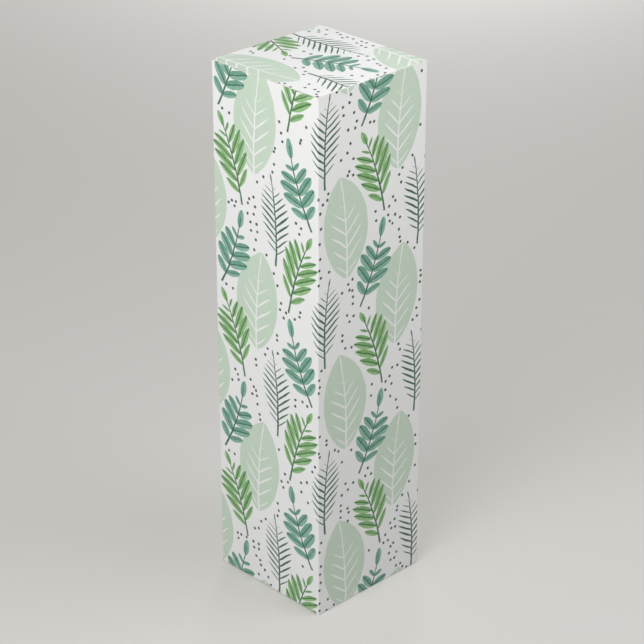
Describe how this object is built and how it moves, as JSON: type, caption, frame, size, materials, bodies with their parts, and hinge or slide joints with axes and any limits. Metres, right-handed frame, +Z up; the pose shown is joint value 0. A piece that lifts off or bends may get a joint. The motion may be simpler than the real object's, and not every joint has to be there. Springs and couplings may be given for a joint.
{
  "type": "wine box",
  "caption": "Tall square folding carton for a wine bottle, with a hinged tuck lid, dust flaps and a snap-lock base.",
  "frame": {"origin": "middle of the base, on the surface that the box stands on", "axes": "+Z up along the box, -Y out of the front panel where the lid tucks in, +X to the right panel"},
  "size_m": [0.0888, 0.0888, 0.3429],
  "materials": {
    "printed_board": "satin",
    "seam_adhesive": "matte"
  },
  "bodies": {
    "carton": {"front_panel": "printed_board", "back_panel": "printed_board", "left_panel": "printed_board", "right_panel": "printed_board", "front_left_fold": "printed_board", "front_right_fold": "printed_board", "back_left_fold": "printed_board", "seam_fold": "printed_board", "glue_flap": "printed_board", "seam_glue": "seam_adhesive", "lid_crease": "printed_board", "left_dust_crease": "printed_board", "right_dust_crease": "printed_board", "front_bottom_fold": "printed_board", "left_bottom_fold": "printed_board", "right_bottom_fold": "printed_board", "back_bottom_fold": "printed_board", "tongue_flap": "printed_board", "lock_tongue": "printed_board", "left_bottom_flap": "printed_board", "right_bottom_flap": "printed_board", "slotted_flap": "printed_board"},
    "lid": {"lid_panel": "printed_board", "tuck_crease": "printed_board"},
    "tuck": {"tuck_flap": "printed_board"},
    "left_dust": {"left_dust_flap": "printed_board"},
    "right_dust": {"right_dust_flap": "printed_board"}
  },
  "joints": [
    {"name": "lid_open", "type": "hinge", "parent": "carton", "child": "lid", "pos_m": [0, 0.044, 0.34245], "axis": [-1, 0, 0], "range_deg": [0, 130]},
    {"name": "tuck_fold", "type": "hinge", "parent": "lid", "child": "tuck", "pos_m": [0, -0.04305, 0.34245], "axis": [1, 0, 0], "range_deg": [-5, 30]},
    {"name": "left_dust_open", "type": "hinge", "parent": "carton", "child": "left_dust", "pos_m": [-0.044, 0, 0.34175], "axis": [0, -1, 0], "range_deg": [0, 97.5]},
    {"name": "right_dust_open", "type": "hinge", "parent": "carton", "child": "right_dust", "pos_m": [0.044, 0, 0.34175], "axis": [0, 1, 0], "range_deg": [0, 97.5]}
  ],
  "couplings": [
    {"joint": "left_dust_open", "follows": "lid_open", "ratio": 0.75},
    {"joint": "right_dust_open", "follows": "lid_open", "ratio": 0.75}
  ]
}
